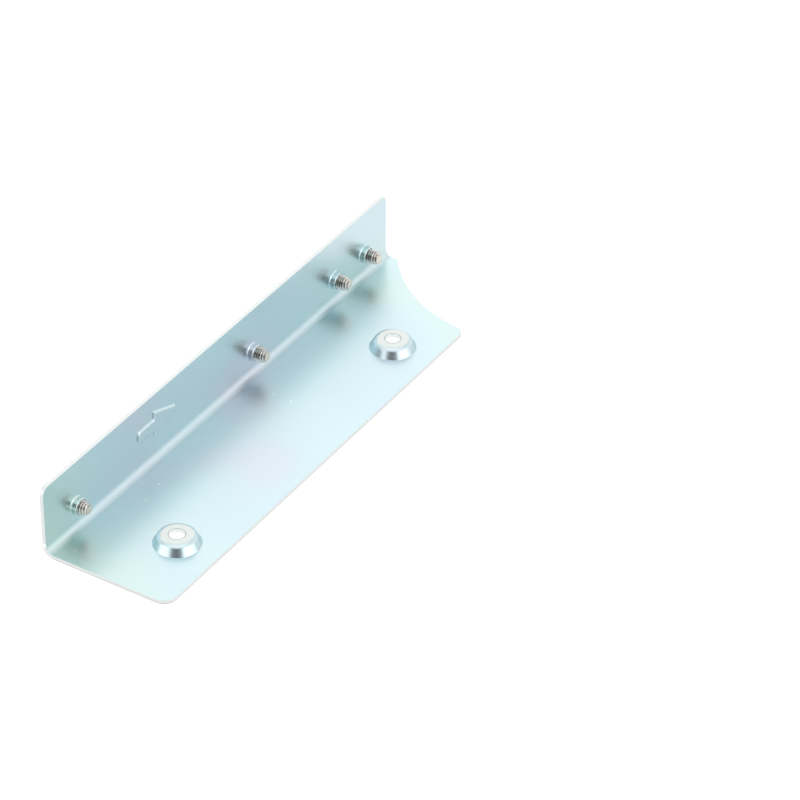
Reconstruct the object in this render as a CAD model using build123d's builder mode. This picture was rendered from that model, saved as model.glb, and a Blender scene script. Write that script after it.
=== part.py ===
from build123d import *
import os
from math import atan2, tan

# A bracket folded from one steel sheet, and the four screws that fix it in a computer.
# It carries one side of a 2.5 inch drive in a bay that was made for a 3.5 inch device.
# Millimetres. X runs from the upright flange across the plate, Y runs along the fold towards
# the notched end, and Z is up. The origin is midway between the two drive holes, on the plane
# where the drive sits.

# Standard sizes that the bracket joins together
bay_device_width = 101.6
drive_hole_rows_apart = 61.72
drive_hole_pitch = 76.6
drive_hole_diameter = 3.3

# The folded sheet
sheet_thickness = 0.8
bend_inside_radius = 1.6
flange_height = 15.9
plate_past_seats = 4.41
near_end_to_drive_centre = 54.55

# Rounded corners of the sheet's outline
plate_near_corner = 2.8
plate_far_corner = 1.8
flange_near_corner = 1.8
flange_far_corner = 1.3
notch_start_corner = 0.6

# The two pressed seats that lift the drive, with room for a screw head in the hollow below
seat_height = 2.1
seat_top_radius = 3.7
seat_wall_lean = 1.15
seat_corner_radius = 1.3
seat_mouth_radius = 0.9

# The round notch that clears the connectors: its start by the bend, and how near it comes to a seat
notch_start_past_bend = 1.4
notch_past_seat = 7.8
notch_centre_past_edge = 2.4

# The row of bay screws, from the near end to the far end, at one height above the plate's underside
near_screw_inset = 10.0
near_screw_to_second = 60.0
near_screw_to_last = 101.6
last_screws_apart = 11.4
last_screw_inset = 8.4
screw_height = 6.0

# Each screw. The near one was driven less far, so its head stands off further.
screw_length = 5.2
head_gap = 0.55
near_head_gap = 1.3
thread_diameter = 3.0
tip_diameter = 2.1
tip_taper_length = 1.0
head_diameter = 6.1
head_height = 2.1
head_dome_rise = 0.45
head_rim_radius = 0.9

# The cross recess in each head, and how far each screw was turned when it was driven
recess_span = 3.1
recess_wing = 0.75
recess_depth = 1.4
recess_tip_radius = 0.55
recess_turns = (24, 70, 8, 47)

# The collar that is drawn out of the flange round each screw
collar_wall = 0.3
collar_height = 1.3
collar_root_bevel = 0.2
collar_lip_bevel = 0.15
thread_clearance = 0.05

# The arrow pressed into the flange, which points towards the far end, with its axis at one
# height above the plate's underside
arrow_height = 8.95
arrow_rise = 0.4
arrow_slope = 0.3
arrow_corner_radius = 0.6
arrow_shoulder_radius = 0.5
arrow_tail_inset = 30.5
arrow_shaft_length = 5.3
arrow_head_length = 8.4
arrow_shaft_half = 1.2
arrow_head_half = 3.0

# Places that follow from the sizes
seat_base_radius = seat_top_radius + seat_wall_lean
drive_hole_radius = drive_hole_diameter / 2
drive_hole_places = (-drive_hole_pitch / 2, drive_hole_pitch / 2)
bend_outside_radius = bend_inside_radius + sheet_thickness
bracket_length = near_screw_inset + near_screw_to_last + last_screw_inset
flange_outer_x = -(bay_device_width - drive_hole_rows_apart) / 2
flange_inner_x = flange_outer_x + sheet_thickness
plate_edge_x = seat_base_radius + plate_past_seats
near_end_y = -near_end_to_drive_centre
far_end_y = near_end_y + bracket_length
plate_top_z = -seat_height
plate_under_z = plate_top_z - sheet_thickness
flange_top_z = plate_under_z + flange_height
arrow_axis_z = plate_under_z + arrow_height

# The notch is the circle that starts by the bend at the far end and is deepest beyond the plate's edge
notch_centre_x = plate_edge_x + notch_centre_past_edge
notch_half_chord = notch_centre_x - (flange_outer_x + bend_outside_radius + notch_start_past_bend)
notch_depth = far_end_y - (drive_hole_pitch / 2 + seat_base_radius + notch_past_seat)
notch_radius = (notch_half_chord**2 + notch_depth**2) / (2 * notch_depth)

# Each screw's place along the bracket, and the gap under its head
thread_radius = thread_diameter / 2
tip_radius = tip_diameter / 2
head_radius = head_diameter / 2
bore_radius = thread_radius + thread_clearance
collar_radius = bore_radius + collar_wall
screw_axis_z = plate_under_z + screw_height
near_screw_y = near_end_y + near_screw_inset
last_screw_y = near_screw_y + near_screw_to_last
screws = (
    (near_screw_y, near_head_gap),
    (near_screw_y + near_screw_to_second, head_gap),
    (last_screw_y - last_screws_apart, head_gap),
    (last_screw_y, head_gap),
)

# Where the sheet is pressed out, it keeps its thickness, so its other side bends a little further in
seat_wall_shift = sheet_thickness * tan(atan2(seat_height, seat_wall_lean) / 2)
arrow_wall_shift = sheet_thickness * tan(atan2(arrow_rise, arrow_slope) / 2)

on_base = (Align.CENTER, Align.CENTER, Align.MIN)

os.makedirs("parts", exist_ok=True)


def arrow_outline(x, grow):
    """The arrow's outline at one x, moved outwards all round by grow, rounded at all but its tip."""
    centre = Plane(
        origin=(x, near_end_y + arrow_tail_inset, arrow_axis_z),
        x_dir=(0, 1, 0),
        z_dir=(1, 0, 0),
    )
    tip = arrow_shaft_length + arrow_head_length
    with BuildSketch(centre) as outline:
        with BuildLine():
            Polyline(
                (0, 0),
                (0, arrow_shaft_half),
                (arrow_shaft_length, arrow_shaft_half),
                (arrow_shaft_length, arrow_head_half),
                (tip, 0),
            )
            mirror(about=Plane.XZ)
        make_face()
        fillet(outline.vertices().sort_by(Axis.Y)[:-1], arrow_corner_radius)
        if grow:
            offset(amount=grow, kind=Kind.INTERSECTION)
    return outline.sketch


raised_arrow = (
    arrow_outline(flange_inner_x, arrow_slope),
    arrow_outline(flange_inner_x + arrow_rise, 0),
)
sunk_arrow = (
    arrow_outline(flange_outer_x, arrow_slope - arrow_wall_shift),
    arrow_outline(flange_outer_x + arrow_rise, -arrow_wall_shift),
)

with BuildPart() as drive_bracket:
    # The L section, folded along Y
    with BuildSketch(Plane.XZ.offset(-near_end_y)):
        with BuildLine():
            FilletPolyline(
                (flange_outer_x, flange_top_z),
                (flange_outer_x, plate_under_z),
                (plate_edge_x, plate_under_z),
                radius=bend_outside_radius,
            )
            offset(amount=sheet_thickness, side=Side.LEFT)
        make_face()
    extrude(amount=-bracket_length)

    # The notch is cut through the plate and leaves the flange whole
    with BuildSketch(Plane.XY.offset(plate_under_z)):
        with Locations((notch_centre_x, far_end_y + notch_radius - notch_depth)):
            Circle(notch_radius)
    extrude(amount=sheet_thickness, mode=Mode.SUBTRACT)

    upright_edges = drive_bracket.edges().filter_by(Axis.Z)
    plate_corners = upright_edges.group_by(Axis.X)[-1].sort_by(Axis.Y)
    notch_start = upright_edges.filter_by_position(
        Axis.X, flange_outer_x + bend_outside_radius, plate_edge_x, inclusive=(False, False)
    )
    fillet(plate_corners[0], plate_near_corner)
    fillet(plate_corners[-1], plate_far_corner)
    fillet(notch_start, notch_start_corner)
    flange_corners = drive_bracket.edges().filter_by(Axis.X).group_by(Axis.Z)[-1].sort_by(Axis.Y)
    fillet(flange_corners[0], flange_near_corner)
    fillet(flange_corners[-1], flange_far_corner)

    # Each drive seat is a low cone pressed up from the plate, open below
    with Locations(*((0, y, plate_top_z) for y in drive_hole_places)):
        Cone(seat_base_radius, seat_top_radius, seat_height, align=on_base)
    fillet(drive_bracket.edges(Select.LAST).group_by(Axis.Z)[-1], seat_corner_radius)
    with Locations(*((0, y, plate_under_z) for y in drive_hole_places)):
        Cone(
            seat_base_radius - seat_wall_shift,
            seat_top_radius - seat_wall_shift,
            seat_height,
            align=on_base,
            mode=Mode.SUBTRACT,
        )
    fillet(drive_bracket.edges(Select.LAST).group_by(Axis.Z)[0], seat_mouth_radius)
    with Locations(*((0, y, -sheet_thickness) for y in drive_hole_places)):
        Cylinder(drive_hole_radius, sheet_thickness, align=on_base, mode=Mode.SUBTRACT)

    # The collars, drawn inwards out of the flange
    screw_places = [(y, screw_axis_z) for y, gap in screws]
    with BuildSketch(Plane.YZ.offset(flange_inner_x)):
        with Locations(*screw_places):
            Circle(collar_radius)
    extrude(amount=collar_height)
    collar_edges = drive_bracket.edges(Select.LAST).group_by(Axis.X)
    chamfer(collar_edges[0], collar_root_bevel)
    chamfer(collar_edges[-1], collar_lip_bevel)
    with BuildSketch(Plane.YZ.offset(flange_outer_x)):
        with Locations(*screw_places):
            Circle(bore_radius)
    extrude(amount=sheet_thickness + collar_height, mode=Mode.SUBTRACT)

    # The arrow stands out on the inside and is sunk on the outside
    loft(sections=raised_arrow, ruled=True)
    fillet(drive_bracket.edges(Select.LAST).group_by(Axis.X)[-1], arrow_shoulder_radius)
    loft(sections=sunk_arrow, ruled=True, mode=Mode.SUBTRACT)

drive_bracket.part.label = "drive_bracket"
export_step(drive_bracket.part, "parts/drive_bracket.step")

# The form that the driver's tip leaves: two crossed wings inside a cone
with BuildPart() as cross_recess:
    with BuildSketch():
        Rectangle(recess_span, recess_wing)
        Rectangle(recess_wing, recess_span)
    extrude(amount=recess_depth)
    Cone(
        bottom_radius=recess_span / 2,
        top_radius=recess_tip_radius,
        height=recess_depth,
        align=on_base,
        mode=Mode.INTERSECT,
    )

# The screws lie along X, with their heads outside the flange
with BuildPart() as bay_screws:
    for (screw_y, gap), turn in zip(screws, recess_turns):
        under_head_x = flange_outer_x - gap
        with BuildSketch(Plane((under_head_x, screw_y, screw_axis_z))) as section:
            with BuildLine():
                dome = TangentArc(
                    (-head_height, 0), (head_dome_rise - head_height, head_radius), tangent=(0, 1)
                )
                Polyline(
                    dome @ 1,
                    (0, head_radius),
                    (0, thread_radius),
                    (screw_length - tip_taper_length, thread_radius),
                    (screw_length, tip_radius),
                    (screw_length, 0),
                    dome @ 0,
                )
            make_face()
            fillet(section.vertices().group_by(Axis.Y)[-1].sort_by(Axis.X)[0], head_rim_radius)
        revolve(axis=Axis((0, screw_y, screw_axis_z), (1, 0, 0)))
        head_top = (under_head_x - head_height, screw_y, screw_axis_z)
        with Locations(Plane(head_top, x_dir=(0, 1, 0), z_dir=(1, 0, 0))):
            add(cross_recess.part, rotation=(0, 0, turn), mode=Mode.SUBTRACT)

bay_screws.part.label = "bay_screws"
export_step(bay_screws.part, "parts/bay_screws.step")
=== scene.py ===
# %% [markdown]
# This notebook dresses a drive bay adapter bracket for a photograph. The bracket is one strip of
# zinc plated steel, folded into an L, that carries one side of a small drive in a bay made for a
# larger one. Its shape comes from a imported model, which is loaded first and never moved or resized.
# What is made here is the finish of the metal, the threads of the screws, and the studio.

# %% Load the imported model
import math

import bmesh
import bpy
import numpy as np
from mathutils import Matrix, Vector


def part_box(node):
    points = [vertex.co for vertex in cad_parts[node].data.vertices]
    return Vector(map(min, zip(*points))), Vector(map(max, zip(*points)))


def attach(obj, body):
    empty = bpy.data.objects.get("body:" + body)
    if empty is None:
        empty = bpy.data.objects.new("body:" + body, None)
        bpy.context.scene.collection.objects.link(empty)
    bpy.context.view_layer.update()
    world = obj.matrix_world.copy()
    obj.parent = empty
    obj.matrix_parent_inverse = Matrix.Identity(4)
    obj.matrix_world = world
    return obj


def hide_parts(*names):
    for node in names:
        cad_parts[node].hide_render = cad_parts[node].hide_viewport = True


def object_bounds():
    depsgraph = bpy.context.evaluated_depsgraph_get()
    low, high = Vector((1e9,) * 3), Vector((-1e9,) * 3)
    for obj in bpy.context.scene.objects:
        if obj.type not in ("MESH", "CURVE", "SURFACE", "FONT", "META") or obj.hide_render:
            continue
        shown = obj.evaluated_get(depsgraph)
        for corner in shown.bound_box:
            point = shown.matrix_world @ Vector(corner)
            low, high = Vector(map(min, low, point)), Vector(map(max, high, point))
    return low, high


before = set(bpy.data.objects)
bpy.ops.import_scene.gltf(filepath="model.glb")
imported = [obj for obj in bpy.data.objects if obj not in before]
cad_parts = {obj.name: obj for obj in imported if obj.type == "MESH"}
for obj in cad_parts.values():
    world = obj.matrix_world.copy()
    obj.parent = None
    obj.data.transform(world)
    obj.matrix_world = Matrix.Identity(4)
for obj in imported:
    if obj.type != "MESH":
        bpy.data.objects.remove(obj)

mm = 0.001
cad_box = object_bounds()
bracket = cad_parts["drive_bracket"]
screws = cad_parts["bay_screws"]
bracket_low, bracket_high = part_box("drive_bracket")
print("the bracket's box in mm:", [round(side / mm, 2) for side in bracket_high - bracket_low])

# %% [markdown]
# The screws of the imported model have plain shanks, because threads add nothing to how the part
# works. The eye misses them at once: the thread is what tells a screw from a pin. So the heads are
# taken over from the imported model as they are, and each shank is made again with its thread.
# First each screw's place is read from the model, by splitting its mesh into the separate screws.

# %% Read where each screw is
screw_length = 5.2 * mm
merge_distance = 0.002 * mm


def joined_mesh(node):
    """The node's mesh with the corners that lie on one another joined, so that faces share them."""
    shape = bmesh.new()
    shape.from_mesh(node.data)
    bmesh.ops.remove_doubles(shape, verts=shape.verts, dist=merge_distance)
    return shape


def islands(shape):
    """The connected groups of vertices, found by walking along the edges."""
    waiting = set(shape.verts)
    while waiting:
        group, front = set(), [waiting.pop()]
        while front:
            vertex = front.pop()
            group.add(vertex)
            for edge in vertex.link_edges:
                other = edge.other_vert(vertex)
                if other in waiting:
                    waiting.remove(other)
                    front.append(other)
        yield group


head_shape = joined_mesh(screws)
tips = []
for group in islands(head_shape):
    places = np.array([vertex.co for vertex in group])
    low, high = places.min(0), places.max(0)
    tips.append(Vector((high[0], (low[1] + high[1]) / 2, (low[2] + high[2]) / 2)))
tips.sort(key=lambda tip: tip.y)
print("screw tips at y, mm:", [round(tip.y / mm, 2) for tip in tips])

# %% [markdown]
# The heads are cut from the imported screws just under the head, and the round opening that this
# leaves is closed with one face. Rounded parts are shaded smooth, and true corners stay sharp.

# %% Take over the heads
sharp_corner = math.radians(35)


def made_piece(name, mesh):
    """Puts a mesh into the scene as a finished piece of the bracket, attached to the root body."""
    piece = bpy.data.objects.new(name, mesh)
    bpy.context.scene.collection.objects.link(piece)
    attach(piece, "root")
    return piece


def nearest_tip(y):
    """The tip of the screw that is nearest to a place along the bracket."""
    return min(tips, key=lambda tip: abs(tip.y - y))


for group in islands(head_shape):
    tip = nearest_tip(np.mean([vertex.co.y for vertex in group]))
    shank_start = tip.x - screw_length + merge_distance
    shank = [vertex for vertex in group if vertex.co.x >= shank_start]
    bmesh.ops.delete(head_shape, geom=shank, context="VERTS")
rims = [edge for edge in head_shape.edges if edge.is_boundary]
bmesh.ops.holes_fill(head_shape, edges=rims, sides=0)
head_mesh = bpy.data.meshes.new("screw_heads")
head_shape.to_mesh(head_mesh)
head_shape.free()
head_mesh.shade_smooth()
head_mesh.set_sharp_from_angle(angle=sharp_corner)
heads = made_piece("screw_heads", head_mesh)
print("faces in the heads:", len(head_mesh.polygons), "holes closed:", len(rims) > 0)

# %% [markdown]
# A metric M3 thread has a pitch of 0.5 mm. Its ridge has flanks at 60 degrees to each other, a
# narrow flat crest and a wider flat root. The outline of one pitch comes first, and with it how far
# the outline sinks over the last millimetre, where the screw tapers to its tip.

# %% Outline of the thread
thread_pitch = 0.5 * mm
crest_radius = 1.5 * mm
root_radius = 1.19 * mm
tip_radius = 1.05 * mm
tip_taper_length = 1.0 * mm
crest_width = thread_pitch / 8
flank_width = (crest_radius - root_radius) * math.tan(math.radians(30))
flank_steps = 3


def ridge_outline():
    """One pitch of the outline, as places along the axis and radii: crest, flank, root, flank."""
    down = np.linspace(0, 1, flank_steps + 1)
    second_flank = thread_pitch - flank_width * down[:0:-1]
    along = np.concatenate([[0], crest_width + down * flank_width, second_flank])
    radii = np.interp(
        along,
        [0, crest_width, crest_width + flank_width, thread_pitch - flank_width, thread_pitch],
        [crest_radius, crest_radius, root_radius, root_radius, crest_radius],
    )
    return along, radii


def sunk(off_tip):
    """How far the outline has sunk at a distance from the tip: in line with it, over the taper."""
    return (crest_radius - tip_radius) * np.clip(1 - off_tip / tip_taper_length, 0, 1)


print("depth of the thread, mm:", round((crest_radius - root_radius) / mm, 2))

# %% [markdown]
# The threaded shank is a surface of two parameters, the angle round the screw and the place along
# the outline, so that the crest is an unbroken edge. Each thread starts at its own angle, because
# no two screws are driven to the same turn.

# %% Cut the threads
end_radius = 0.85 * mm
reach_into_head = 0.3 * mm
steps_round = 48
thread_starts = (0.1, 0.55, 0.3, 0.8)       # shares of a pitch
weld_distance = 0.0005 * mm


def spiral(tip, start):
    """The thread of one screw, open at both ends, as points and faces. A point at angle a and outline
    place s lies at x = s + pitch * a / full turn, at the outline's radius there. Over the last stretch
    the outline sinks in line with x, so that the thread runs out at the tip, but not below the end's
    radius. What would lie beyond either end is brought back to it, at the end's radius."""
    along, radii = ridge_outline()
    length = screw_length + reach_into_head
    pitches = math.ceil(length / thread_pitch) + 2
    place = ((np.arange(pitches) - 1 - start)[:, None] * thread_pitch + along[None, :]).ravel()
    radius = np.tile(radii, pitches)
    angle = np.arange(steps_round + 1) / steps_round * math.tau
    run = place[:, None] + thread_pitch * angle[None, :] / math.tau
    x = np.clip(run, 0, length)
    outline = np.maximum(radius[:, None] - sunk(length - x), end_radius)
    r = np.where(run == x, outline, end_radius)
    points = np.stack([tip.x - length + x, tip.y + r * np.cos(angle), tip.z + r * np.sin(angle)], -1)
    columns = steps_round + 1
    corner = (np.arange(len(place) - 1)[:, None] * columns + np.arange(steps_round)[None, :]).ravel()
    quads = np.stack([corner, corner + columns, corner + columns + 1, corner + 1], -1)
    return points.reshape(-1, 3), quads


thread_shape = bmesh.new()
for tip, start in zip(tips, thread_starts):
    points, quads = spiral(tip, start)
    part = bpy.data.meshes.new("thread")
    part.from_pydata(points.tolist(), [], quads.tolist())
    thread_shape.from_mesh(part)
    bpy.data.meshes.remove(part)
bmesh.ops.remove_doubles(thread_shape, verts=thread_shape.verts, dist=weld_distance)
bmesh.ops.dissolve_degenerate(thread_shape, edges=thread_shape.edges, dist=weld_distance)
rims = [edge for edge in thread_shape.edges if edge.is_boundary]
bmesh.ops.holes_fill(thread_shape, edges=rims, sides=0)
bmesh.ops.recalc_face_normals(thread_shape, faces=thread_shape.faces)
thread_mesh = bpy.data.meshes.new("screw_threads")
thread_shape.to_mesh(thread_mesh)
thread_shape.free()
thread_mesh.shade_smooth()
thread_mesh.set_sharp_from_angle(angle=sharp_corner)
threads = made_piece("screw_threads", thread_mesh)
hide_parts("bay_screws")
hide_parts("bay_screws")
print("faces in the threads:", len(thread_mesh.polygons))

# %% [markdown]
# Materials are built from nodes. Three small helpers are enough: one turns a colour as it is picked
# on a screen into the linear numbers that light adds up in, one adds a node with its settings and
# links, and one starts a material.

# %% Helpers for materials


def linear(hex_colour):
    """The linear colour of an sRGB hex value such as #DFF1F6."""
    channels = [int(hex_colour[place:place + 2], 16) / 255 for place in (1, 3, 5)]
    return [c / 12.92 if c <= 0.04045 else ((c + 0.055) / 1.055) ** 2.4 for c in channels] + [1.0]


def add(tree, kind, inputs=None, **settings):
    """Adds a node. An input is a value, another node, whose first output is linked, or an output."""
    node = tree.nodes.new(kind)
    for name, value in settings.items():
        setattr(node, name, value)
    for name, value in (inputs or {}).items():
        if isinstance(value, bpy.types.Node):
            value = value.outputs[0]
        if isinstance(value, bpy.types.NodeSocket):
            tree.links.new(value, node.inputs[name])
        else:
            node.inputs[name].default_value = value
    return node


def new_material(name):
    """A material without any nodes, and its empty node tree."""
    material = bpy.data.materials.new(name)
    material.use_nodes = True
    tree = material.node_tree
    tree.nodes.clear()
    return material, tree


print("a screen grey of #808080 reflects this share of the light:", round(linear("#808080")[0], 3))

# %% [markdown]
# The sheet is cold rolled steel. It was cut, pressed and folded first and zinc plated afterwards,
# with a blue passivation on the zinc. The rolling leaves it satin, so it mirrors its surroundings
# with blurred edges. The passivation is a film thinner than a wave of light. Its tint drifts over
# centimetres between mint, cyan and lavender, which one soft noise of that size can follow. The film
# changes towards the ends and the free edge, which turns them to mint. Object coordinates hold the
# drift in place, in the sheet's own metres.

# %% Tint of the plating
tint_drift = 24 * mm
end_change_from, end_change_to, end_change = 28 * mm, 62 * mm, 0.3
edge_change_from, edge_change_to, edge_change = -4 * mm, 9 * mm, 0.08

zinc, tree = new_material("zinc_plated_steel")
coordinates = add(tree, "ShaderNodeTexCoord")
place = coordinates.outputs["Object"]
cloud = add(tree, "ShaderNodeTexNoise", {"Vector": place, "Scale": 1 / tint_drift, "Detail": 1.0})
spot = add(tree, "ShaderNodeSeparateXYZ", {"Vector": place})
from_middle = add(tree, "ShaderNodeMath", {0: spot.outputs["Y"]}, operation="ABSOLUTE")
by_end = add(tree, "ShaderNodeMapRange", {
    "Value": from_middle, "From Min": end_change_from, "From Max": end_change_to, "To Max": end_change,
}, interpolation_type="SMOOTHSTEP")
by_edge = add(tree, "ShaderNodeMapRange", {
    "Value": spot.outputs["X"],
    "From Min": edge_change_from, "From Max": edge_change_to, "To Max": edge_change,
}, interpolation_type="SMOOTHSTEP")
film = add(tree, "ShaderNodeMath", {0: cloud, 1: by_end}, operation="SUBTRACT")
film = add(tree, "ShaderNodeMath", {0: film, 1: by_edge}, operation="SUBTRACT")

tint = add(tree, "ShaderNodeValToRGB", {"Fac": film})
tint.color_ramp.elements[0].position = 0.34
tint.color_ramp.elements[0].color = linear("#C9DDE2")           # cyan
tint.color_ramp.elements[1].position = 0.66
tint.color_ramp.elements[1].color = linear("#CFD8E0")           # lavender
tint.color_ramp.elements.new(0.5).color = linear("#CADCE1")
tint.color_ramp.elements.new(0.16).color = linear("#CCDFDD")    # mint
print("colours in the tint:", len(tint.color_ramp.elements))

# %% [markdown]
# The edges where the sheet was sheared, and the walls of the punched holes, are duller than its faces,
# because a sheared surface is rougher. Their colour is also painted paler than the faces, as a painted
# highlight, and the walls of the drive holes are painted palest, as painted light. The lowest stretch of
# an edge is painted greyer, as a painted shadow where the sheet meets the floor. Whether a face is such an
# edge can be told from its normal and its place. On the flange the normal of an edge has no part along X.
# On the plate it has none along Z. The fold's own surface is left out: its normal has no part along Y.

# %% Find the cut edges
sheet_thickness = 0.8 * mm
fold_inside_radius = 1.6 * mm
contact_shadow_height = 0.18 * mm
margin = 0.02 * mm
no_part = 0.35          # a share of the normal up to which an edge has no part along a direction
not_an_end = 0.9        # and the share along Y up to which a face isn't an end of the fold
inside_of_flange = bracket_low.x + sheet_thickness + margin
end_of_fold = inside_of_flange + fold_inside_radius
seat_top_under = -sheet_thickness - margin
contact_shadow_top = bracket_low.z + contact_shadow_height

facing = add(tree, "ShaderNodeSeparateXYZ", {"Vector": coordinates.outputs["Normal"]})
sideways = add(tree, "ShaderNodeMath", {
    0: facing.outputs["Y"], 1: 0.0, 2: not_an_end,
}, operation="COMPARE")
in_flange = add(tree, "ShaderNodeMath", {0: spot.outputs["X"], 1: inside_of_flange}, operation="LESS_THAN")
across_flange = add(tree, "ShaderNodeMath", {
    0: facing.outputs["X"], 1: 0.0, 2: no_part,
}, operation="COMPARE")
flange_edge = add(tree, "ShaderNodeMath", {0: in_flange, 1: across_flange}, operation="MULTIPLY")
in_fold = add(tree, "ShaderNodeMath", {0: spot.outputs["X"], 1: end_of_fold}, operation="LESS_THAN")
fold_face = add(tree, "ShaderNodeMath", {0: in_fold, 1: sideways}, operation="MULTIPLY")
across_plate = add(tree, "ShaderNodeMath", {
    0: facing.outputs["Z"], 1: 0.0, 2: no_part,
}, operation="COMPARE")
below_seats = add(tree, "ShaderNodeMath", {0: spot.outputs["Z"], 1: margin}, operation="LESS_THAN")
plate_edge = add(tree, "ShaderNodeMath", {0: across_plate, 1: below_seats}, operation="MULTIPLY")
plate_edge = add(tree, "ShaderNodeMath", {0: plate_edge, 1: fold_face}, operation="SUBTRACT")
cut_edge = add(tree, "ShaderNodeMath", {0: flange_edge, 1: plate_edge}, operation="MAXIMUM")

in_seat_top = add(tree, "ShaderNodeMath", {
    0: spot.outputs["Z"], 1: seat_top_under,
}, operation="GREATER_THAN")
# painted light: the walls of the drive holes are painted nearly white
hole_wall_painted_light = add(tree, "ShaderNodeMath", {0: plate_edge, 1: in_seat_top}, operation="MULTIPLY")
# painted shadow: the lowest stretch of each cut edge, where the sheet meets the floor
lowest = add(tree, "ShaderNodeMath", {0: spot.outputs["Z"], 1: contact_shadow_top}, operation="LESS_THAN")
contact_shadow_strip = add(tree, "ShaderNodeMath", {0: lowest, 1: cut_edge}, operation="MULTIPLY")
print("the fold ends at x, mm:", round(end_of_fold / mm, 2))

# %% [markdown]
# Drives have slid over the raised seats, which rubs the blue film off their flat tops. Round each drive
# hole a narrow ring is painted dark, as painted shade where the punch has drawn the metal in. Both holes
# lie at the same distance from the middle, so one mask of that distance serves them both.

# %% Worn seats and painted shade round the drive holes
nearly_level, level = 0.93, 0.99        # shares of the normal along Z
seat_top_depth = 0.3 * mm
drive_hole = Vector((0, 38.3, 0)) * mm
lip_shade_radius = 1.69 * mm
lip_shade_half_width = 0.06 * mm

flat_top = add(tree, "ShaderNodeMapRange", {
    "Value": facing.outputs["Z"], "From Min": nearly_level, "From Max": level,
})
high = add(tree, "ShaderNodeMath", {0: spot.outputs["Z"], 1: 0.0, 2: seat_top_depth}, operation="COMPARE")
worn = add(tree, "ShaderNodeMath", {0: flat_top, 1: high}, operation="MULTIPLY")
across_hole = add(tree, "ShaderNodeCombineXYZ", {"X": spot.outputs["X"], "Y": from_middle})
off_hole = add(tree, "ShaderNodeVectorMath", {0: across_hole, 1: drive_hole}, operation="DISTANCE")
# painted shade: a dark ring round each drive hole
lip_shade = add(tree, "ShaderNodeMath", {
    0: off_hole.outputs["Value"], 1: lip_shade_radius, 2: lip_shade_half_width,
}, operation="COMPARE")
lip_shade = add(tree, "ShaderNodeMath", {0: lip_shade, 1: worn}, operation="MULTIPLY")
print("the lip's outer radius, mm:", round((lip_shade_radius + lip_shade_half_width) / mm, 2))

# %% [markdown]
# A few small spots on the plate are painted pale, as painted highlights. Each is a soft spot round its own
# place, and a little noise in the place frays its outline. The noise lies between 0 and 1, so it moves a
# place by half the fray on average, and the middles are moved along with it.

# %% Painted highlight spots
fray_size = 0.5 * mm
full_within = 0.4       # a share of a scuff's radius
plate_top = bracket_low.z + sheet_thickness
highlight_spots = (              # x, y and radius in mm
    (-15.0, -50.7, 0.5),
    (-13.6, -25.2, 0.35),
    (-12.9, -30.8, 0.35),
    (-11.3, 11.6, 0.35),
    (-7.1, 11.5, 0.3),
)

fray = add(tree, "ShaderNodeTexNoise", {"Vector": place, "Scale": 1 / fray_size, "Detail": 2.0})
fray = add(tree, "ShaderNodeVectorMath", {0: fray.outputs["Color"], "Scale": fray_size}, operation="SCALE")
frayed = add(tree, "ShaderNodeVectorMath", {0: place, 1: fray}, operation="ADD")
soft_spots = []
for x, y, radius in highlight_spots:
    middle = Vector((x * mm, y * mm, plate_top)) + Vector((1, 1, 1)) * fray_size / 2
    away = add(tree, "ShaderNodeVectorMath", {0: frayed, 1: middle}, operation="DISTANCE")
    soft_spots.append(add(tree, "ShaderNodeMapRange", {
        "Value": away.outputs["Value"], "From Min": radius * mm, "From Max": radius * full_within * mm,
    }, interpolation_type="SMOOTHSTEP"))
# painted highlights: small pale spots on the plate
highlight_spot_mask = soft_spots[0]
for soft in soft_spots[1:]:
    highlight_spot_mask = add(tree, "ShaderNodeMath", {0: highlight_spot_mask, 1: soft}, operation="MAXIMUM")
print("scuffs:", len(soft_spots))

# %% [markdown]
# Each place that differs has its own colour, laid over the tint where its mask is one. A later mask covers
# an earlier one, so the walls of the drive holes, painted palest of all as painted light, come last.

# %% Colour of the sheet
colour = tint
for mask, bare in (
    (worn, "#D2D8D5"),
    # painted shade round the drive holes
    (lip_shade, "#6F7C7E"),
    # painted highlights on the plate
    (highlight_spot_mask, "#ECF0EF"),
    # painted highlight: the cut edges are painted paler than the faces
    (cut_edge, "#DEE2E1"),
    # painted shadow along the bottom of the cut edges
    (contact_shadow_strip, "#C6C6C5"),
    # painted light on the walls of the drive holes
    (hole_wall_painted_light, "#F8FAF9"),
):
    mix = add(tree, "ShaderNodeMix", {0: mask, 6: colour, 7: linear(bare)}, data_type="RGBA")
    colour = mix.outputs[2]
print("nodes so far:", len(tree.nodes))

# %% [markdown]
# The gloss is uneven too: it drifts with the tint. The inside of the fold is duller than the flat
# faces, because bending roughens a rolled surface, and the sheared edges are the dullest. Rolling
# also draws the surface out into fine parallel grain along the strip. On the real sheet it is some
# hundredths of a millimetre wide, too fine to show here, so it is drawn 0.3 mm wide. A bevel in the
# shading rounds the corners by a tenth of a millimetre, so that they catch the light.

# %% Gloss and grain of the sheet
glossiest, dullest = 0.29, 0.37
dull_fold, dull_edge = 0.44, 0.5
fold_low_from, fold_low_full = -0.2 * mm, -0.9 * mm         # along Z
fold_near_from, fold_near_full = -17.2 * mm, -17.9 * mm     # along X
grain_width = 0.3 * mm
grain_length = 9 * mm
grain_height = 0.002 * mm
edge_rounding = 0.12 * mm

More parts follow.
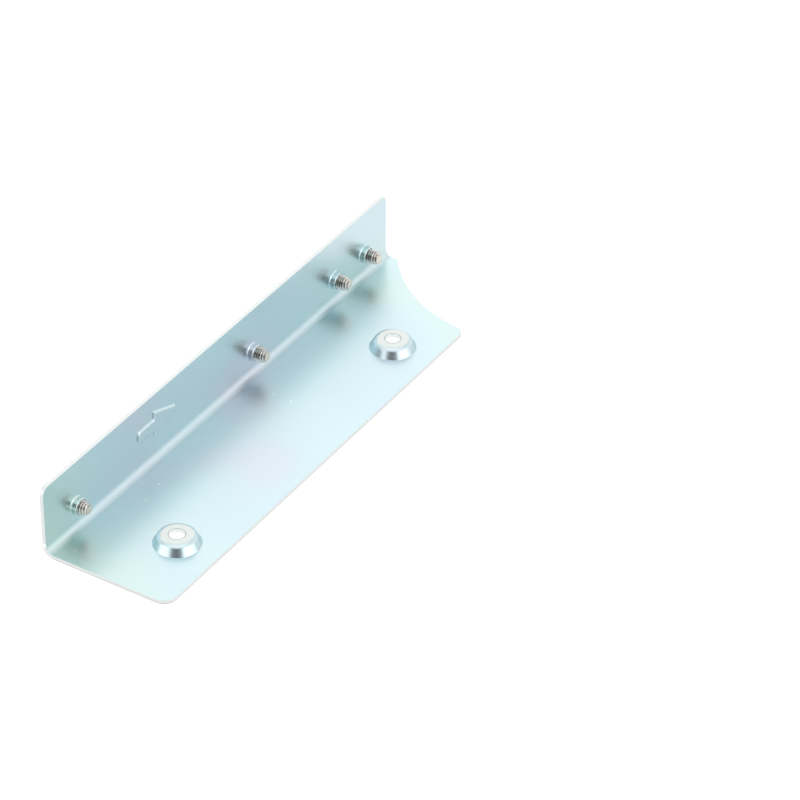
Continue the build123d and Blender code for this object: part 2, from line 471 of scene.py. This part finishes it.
dullness = add(tree, "ShaderNodeMapRange", {
    "Value": cloud.outputs["Fac"], "To Min": glossiest, "To Max": dullest,
})
low_down = add(tree, "ShaderNodeMapRange", {
    "Value": spot.outputs["Z"], "From Min": fold_low_from, "From Max": fold_low_full,
}, interpolation_type="SMOOTHSTEP")
near_flange = add(tree, "ShaderNodeMapRange", {
    "Value": spot.outputs["X"], "From Min": fold_near_from, "From Max": fold_near_full,
}, interpolation_type="SMOOTHSTEP")
folded = add(tree, "ShaderNodeMath", {0: low_down, 1: near_flange}, operation="MULTIPLY")
dullness = add(tree, "ShaderNodeMix", {0: folded, 2: dullness, 3: dull_fold})
roughness = add(tree, "ShaderNodeMix", {0: cut_edge, 2: dullness, 3: dull_edge})

stretch = Vector((1 / grain_width, 1 / grain_length, 1 / grain_width))
drawn_out = add(tree, "ShaderNodeMapping", {"Vector": place, "Scale": stretch})
grain = add(tree, "ShaderNodeTexNoise", {"Vector": drawn_out, "Scale": 1.0, "Detail": 2.0})
rounded = add(tree, "ShaderNodeBevel", {"Radius": edge_rounding}, samples=4)
relief = add(tree, "ShaderNodeBump", {
    "Height": grain.outputs["Fac"], "Distance": grain_height, "Strength": 0.5, "Normal": rounded,
})
shader = add(tree, "ShaderNodeBsdfPrincipled", {
    "Base Color": colour, "Metallic": 1.0, "Roughness": roughness, "Normal": relief,
})
add(tree, "ShaderNodeOutputMaterial", {"Surface": shader})
bracket.material_slots[0].material = zinc
print("finish of the sheet:", zinc.name, "with", len(tree.nodes), "nodes")

# %% [markdown]
# The screws are nickel plated steel, a little warmer and glossier than the sheet. Tumbling in the plating
# barrel leaves their gloss slightly uneven. Their ends were sheared from the wire and are duller, and they
# are painted paler, as a painted highlight. An end is what looks straight along X, as do the undersides of
# the heads, which hardly show.

# %% Nickel plated screws
tumbled_size = 0.8 * mm
glossiest, dullest, dull_end = 0.12, 0.24, 0.5
straight_along = 0.97       # a share of the normal

nickel, tree = new_material("nickel_plated_steel")
coordinates = add(tree, "ShaderNodeTexCoord")
place = coordinates.outputs["Object"]
tumbled = add(tree, "ShaderNodeTexNoise", {"Vector": place, "Scale": 1 / tumbled_size, "Detail": 2.0})
dullness = add(tree, "ShaderNodeMapRange", {
    "Value": tumbled.outputs["Fac"], "To Min": glossiest, "To Max": dullest,
})
facing = add(tree, "ShaderNodeSeparateXYZ", {"Vector": coordinates.outputs["Normal"]})
sheared_end = add(tree, "ShaderNodeMath", {
    0: facing.outputs["X"], 1: straight_along,
}, operation="GREATER_THAN")
dullness = add(tree, "ShaderNodeMix", {0: sheared_end, 2: dullness, 3: dull_end})
# painted highlight: the sheared ends are painted paler
plating_and_painted_ends = add(tree, "ShaderNodeMix", {
    0: sheared_end, 6: linear("#D2CFCA"), 7: linear("#E2DBD3"),
}, data_type="RGBA")
shader = add(tree, "ShaderNodeBsdfPrincipled", {
    "Base Color": plating_and_painted_ends.outputs[2], "Metallic": 1.0, "Roughness": dullness,
})
add(tree, "ShaderNodeOutputMaterial", {"Surface": shader})
for piece in (heads, threads):
    piece.data.materials.clear()
    piece.data.materials.append(nickel)
print("finish of the screws:", nickel.name)

# %% [markdown]
# The roots of the thread are painted darker, as painted shade, which is what makes the ridges stand out. A
# face belongs to a root where it lies deep below the crest's height and does not look along the screw, as
# its end does.

# %% Painted shade in the roots of the thread
root_depth = 0.2 * mm
along_screw = 0.9       # a share of the normal
# painted shade: a darker material for the roots of the thread
root_shade, tree = new_material("thread_root_painted_shade")
shader = add(tree, "ShaderNodeBsdfPrincipled", {
    "Base Color": linear("#9F9A93"), "Metallic": 1.0, "Roughness": 0.35,
})
add(tree, "ShaderNodeOutputMaterial", {"Surface": shader})
thread_mesh.materials.append(root_shade)
for face in thread_mesh.polygons:
    tip = nearest_tip(face.center.y)
    off_axis = math.hypot(face.center.y - tip.y, face.center.z - tip.z)
    below_crest = crest_radius - sunk(tip.x - face.center.x) - off_axis
    face.material_index = int(below_crest > root_depth and abs(face.normal.x) < along_screw)
print("faces in the roots:", sum(face.material_index for face in thread_mesh.polygons))

# %% [markdown]
# The camera looks down on the open side of the L from beyond its near end. It stands well back
# with a long lens, so the far end is hardly smaller than the near one.

# %% Camera
camera_azimuth = math.radians(32.42)
camera_elevation = math.radians(36.43)
camera_roll = math.radians(0.22)
camera_distance = 805.8 * mm
camera_target = Vector((13.609, 19.719, 1.315)) * mm
across = Vector((math.cos(camera_azimuth), math.sin(camera_azimuth), 0))
forward = Vector((-math.sin(camera_azimuth), math.cos(camera_azimuth), 0))
view = forward * math.cos(camera_elevation) - Vector((0, 0, 1)) * math.sin(camera_elevation)
overhead = across.cross(view)
right = across * math.cos(camera_roll) + overhead * math.sin(camera_roll)
up = right.cross(view)

lens = bpy.data.cameras.new("camera")
lens.sensor_width = 36.0
lens.lens = 181.71
lens.clip_start = 10 * mm
lens.clip_end = 20.0
camera = bpy.data.objects.new("camera", lens)
turn = Matrix((right, up, -view)).transposed().to_4x4()
camera.matrix_world = Matrix.Translation(camera_target - view * camera_distance) @ turn
bpy.context.scene.collection.objects.link(camera)
bpy.context.scene.camera = camera
print("camera stands at, mm:", [round(v / mm, 1) for v in camera.matrix_world.translation])

# %% [markdown]
# Bright metal has hardly a colour of its own: it shows the studio. So the studio is set by asking
# what each surface mirrors. The bracket lies on white paper. What looks at the paper sees it glow
# white: the camera, and the rays that metal mirrors or glass lets through, which Light Path tells
# apart. For all other light it stays a middle grey, so it keeps the bracket's shadow.

# %% Floor
floor_half_width = 3.0
floor_glow = 0.94
below = 0.02 * mm


def studio_panel(name, middle, to_side, to_top, material):
    """A flat rectangle of the studio. From its middle it reaches to_side and to_top, both ways."""
    mesh = bpy.data.meshes.new(name)
    corners = [middle + to_side * sx + to_top * sy for sx, sy in ((-1, -1), (1, -1), (1, 1), (-1, 1))]
    mesh.from_pydata(corners, [], [(0, 1, 2, 3)])
    mesh.materials.append(material)
    panel = bpy.data.objects.new(name, mesh)
    bpy.context.scene.collection.objects.link(panel)
    return panel


paper, tree = new_material("white_paper")
path = add(tree, "ShaderNodeLightPath")
seen = add(tree, "ShaderNodeMath", {
    0: path.outputs["Is Camera Ray"], 1: path.outputs["Is Glossy Ray"],
}, operation="MAXIMUM")
seen = add(tree, "ShaderNodeMath", {0: seen, 1: path.outputs["Is Transmission Ray"]}, operation="MAXIMUM")
glow = add(tree, "ShaderNodeMath", {0: seen, 1: floor_glow}, operation="MULTIPLY")
matt = add(tree, "ShaderNodeBsdfDiffuse", {"Color": linear("#787878")})
shine = add(tree, "ShaderNodeEmission", {"Strength": glow})
both = add(tree, "ShaderNodeAddShader", {0: matt, 1: shine})
add(tree, "ShaderNodeOutputMaterial", {"Surface": both})
floor_middle = Vector((0, 0, cad_box[0].z - below))
floor_side, floor_top = Vector((floor_half_width, 0, 0)), Vector((0, floor_half_width, 0))
floor = studio_panel("floor", floor_middle, floor_side, floor_top, paper)
print("the floor lies at z, mm:", round(floor_middle.z / mm, 2))

# %% [markdown]
# A pale room lights the bracket evenly from all sides, as the white tent of a product photographer
# does. It is what most of the metal mirrors.

# %% Room light
room_level = 0.9
world = bpy.data.worlds.new("room")
bpy.context.scene.world = world
world.use_nodes = True
background = world.node_tree.nodes["Background"]
background.inputs["Color"].default_value = (1, 1, 1, 1)
background.inputs["Strength"].default_value = room_level
print("level of the room:", room_level)

# %% [markdown]
# Six soft lamps are brighter areas in that tent. Leaving one out shows what it is for. The back
# light makes the open side of the plate and the tops of the seats glow. The low light is mirrored
# by the inside of the flange, and by the plate beside it. The right light draws the bright stripe
# along the fold and, with the left light, the white bands on the walls of the seats. The top light
# shows on the shoulders of the seats and on the screws, and the horizon light brightens the right
# flank of each seat a little, as the camera sees it.


# %% Soft lights
def direction(azimuth, elevation):
    """Unit vector towards a light. Azimuth 0 is along +Y and grows towards -X, in degrees, and
    elevation is above the floor."""
    a, e = math.radians(azimuth), math.radians(elevation)
    return Vector((-math.sin(a) * math.cos(e), math.cos(a) * math.cos(e), math.sin(e)))


def soft_light(name, azimuth, elevation, distance, width, height, brightness):
    """A rectangular lamp that faces the bracket, and looks as bright as given in a mirror."""
    data = bpy.data.lights.new(name, "AREA")
    data.shape = "RECTANGLE"
    data.size, data.size_y = width, height
    data.energy = brightness * math.pi * width * height
    lamp = bpy.data.objects.new(name, data)
    lamp.location = direction(azimuth, elevation) * distance
    lamp.rotation_euler = (-lamp.location).to_track_quat("-Z", "Y").to_euler()
    lamp.visible_camera = False
    bpy.context.scene.collection.objects.link(lamp)
    return lamp


# name, azimuth and elevation in degrees, distance, width and height in metres, brightness
soft_lights = [
    soft_light("back_light", 42, 34, 1.5, 1.8, 1.4, 0.46),
    soft_light("low_light", -37, 29, 1.5, 0.6, 0.45, 0.56),
    soft_light("horizon_light", -14, 9, 1.5, 0.9, 0.45, 0.35),
    soft_light("left_light", 145, 18, 1.2, 1.4, 0.7, 1.0),
    soft_light("right_light", -93, 18, 1.2, 1.4, 0.7, 1.1),
    soft_light("top_light", 212, 74, 1.2, 1.7, 1.7, 0.42),
]
print("soft lights:", [lamp.name for lamp in soft_lights])

# %% [markdown]
# Metal in an all white tent looks like plaster. A dark card at the camera's side is mirrored in the
# front of each round seat, in the threads and in the arrow's edges, and these dark touches make
# them read as metal. The camera doesn't see the card itself.

# %% Dark card
card_distance = 1.0
card_half_width, card_half_height = 0.48, 0.32
black, tree = new_material("black_card")
shader = add(tree, "ShaderNodeBsdfDiffuse", {"Color": linear("#202324")})
add(tree, "ShaderNodeOutputMaterial", {"Surface": shader})
card_middle = direction(210, 24) * card_distance
card_across = Vector((0, 0, 1)).cross(card_middle).normalized()
card_up = card_middle.normalized().cross(card_across)
card_side, card_top = card_across * card_half_width, card_up * card_half_height
card = studio_panel("dark_card", card_middle, card_side, card_top, black)
card.visible_camera = False
print("the card's middle, m:", [round(v, 2) for v in card_middle])

# %% [markdown]
# The picture shows colours as they are, with no film look over them, so a colour in a material can
# be compared with the photograph.

# %% Colours as they are
bpy.context.scene.view_settings.view_transform = "Standard"
print("view transform:", bpy.context.scene.view_settings.view_transform)
